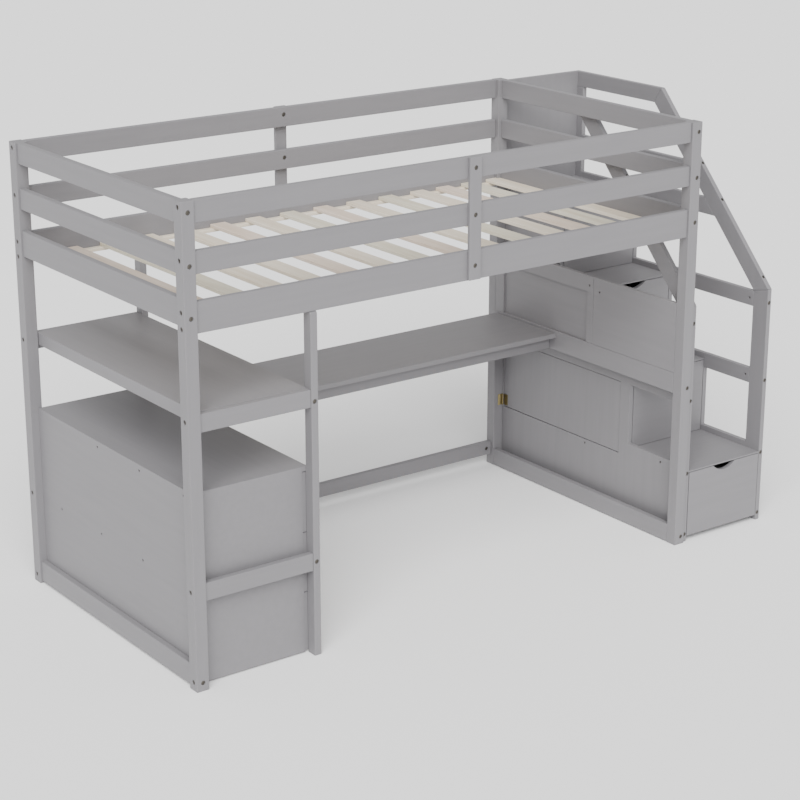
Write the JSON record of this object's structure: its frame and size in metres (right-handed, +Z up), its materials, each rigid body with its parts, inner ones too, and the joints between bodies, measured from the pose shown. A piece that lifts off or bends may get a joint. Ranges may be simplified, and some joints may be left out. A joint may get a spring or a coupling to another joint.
{
  "type": "loft bed with desk",
  "caption": "raised single bed over a long desk, with a drawer chest and shelf at one end and drawer stairs with a cupboard at the other",
  "frame": {"origin": "middle of the footprint of the whole part, on the floor", "axes": "+X runs along the bed from the chest to the stairs, +Y from the open front to the rear, +Z up"},
  "size_m": [2.3822, 1.0766, 1.507],
  "materials": {
    "grey_paint": "satin paint",
    "bare_slats": "planed bare wood",
    "hinge_brass": "dull brass"
  },
  "bodies": {
    "loft_frame": {"bottom_rail_left": "grey_paint", "bottom_rail_right": "grey_paint", "cabinet_floor": "grey_paint", "chest_case": "grey_paint", "chest_stretcher": "grey_paint", "desk_end_rail": "grey_paint", "desk_top": "grey_paint", "door_hinge_lower": "hinge_brass", "door_hinge_upper": "hinge_brass", "end_board_left": "grey_paint", "end_board_right": "grey_paint", "guard_rail_high": "grey_paint", "guard_rail_low": "grey_paint", "guard_rail_mid": "grey_paint", "guard_stile_front": "grey_paint", "guard_stile_rear": "grey_paint", "landing_guard_rail": "grey_paint", "landing_post_outer": "grey_paint", "low_rail_rear": "grey_paint", "mid_post_front": "grey_paint", "mid_post_rear": "grey_paint", "post_front_left": "grey_paint", "post_front_right": "grey_paint", "post_rear_left": "grey_paint", "post_rear_right": "grey_paint", "rail_front_middle": "grey_paint", "rail_front_top": "grey_paint", "rail_left_middle": "grey_paint", "rail_left_top": "grey_paint", "rail_rear_middle": "grey_paint", "rail_rear_top": "grey_paint", "rail_right_middle": "grey_paint", "rail_right_top": "grey_paint", "side_panel_upper": "grey_paint", "side_rail_front": "grey_paint", "side_rail_rear": "grey_paint", "slat_deck": "bare_slats", "stair_back_panel": "grey_paint", "stair_diagonal_inner": "grey_paint", "stair_diagonal_outer": "grey_paint", "stair_leg_inner": "grey_paint", "stair_leg_outer": "grey_paint", "stair_side_inner": "grey_paint", "stair_side_outer": "grey_paint", "stair_top_rail_outer": "grey_paint", "tread_1": "grey_paint", "tread_2": "grey_paint", "tread_3": "grey_paint", "tread_4": "grey_paint", "wing_rail_front": "grey_paint", "wing_rail_rear": "grey_paint", "wing_shelf": "grey_paint"},
    "chest_drawer_bottom_body": {"chest_drawer_bottom": "grey_paint"},
    "chest_drawer_middle_body": {"chest_drawer_middle": "grey_paint"},
    "chest_drawer_top_body": {"chest_drawer_top": "grey_paint"},
    "stair_drawer_1_body": {"stair_drawer_1": "grey_paint"},
    "stair_drawer_2_body": {"stair_drawer_2": "grey_paint"},
    "stair_drawer_3_body": {"stair_drawer_3": "grey_paint"},
    "stair_drawer_4_body": {"stair_drawer_4": "grey_paint"},
    "door_body": {"cabinet_door": "grey_paint"}
  },
  "joints": [
    {"name": "chest_drawer_bottom_slide", "type": "slide", "parent": "loft_frame", "child": "chest_drawer_bottom_body", "axis": [1, 0, 0], "range_m": [0, 0.3]},
    {"name": "chest_drawer_middle_slide", "type": "slide", "parent": "loft_frame", "child": "chest_drawer_middle_body", "axis": [1, 0, 0], "range_m": [0, 0.3]},
    {"name": "chest_drawer_top_slide", "type": "slide", "parent": "loft_frame", "child": "chest_drawer_top_body", "axis": [1, 0, 0], "range_m": [0, 0.3]},
    {"name": "stair_drawer_1_slide", "type": "slide", "parent": "loft_frame", "child": "stair_drawer_1_body", "axis": [0, -1, 0], "range_m": [0, 0.23]},
    {"name": "stair_drawer_2_slide", "type": "slide", "parent": "loft_frame", "child": "stair_drawer_2_body", "axis": [0, -1, 0], "range_m": [0, 0.14]},
    {"name": "stair_drawer_3_slide", "type": "slide", "parent": "loft_frame", "child": "stair_drawer_3_body", "axis": [0, -1, 0], "range_m": [0, 0.14]},
    {"name": "stair_drawer_4_slide", "type": "slide", "parent": "loft_frame", "child": "stair_drawer_4_body", "axis": [0, -1, 0], "range_m": [0, 0.26]},
    {"name": "cabinet_door_hinge", "type": "hinge", "parent": "loft_frame", "child": "door_body", "pos_m": [0.80535, 0.486, 0.3725], "axis": [0, 0, -1], "range_deg": [0, 90]}
  ]
}
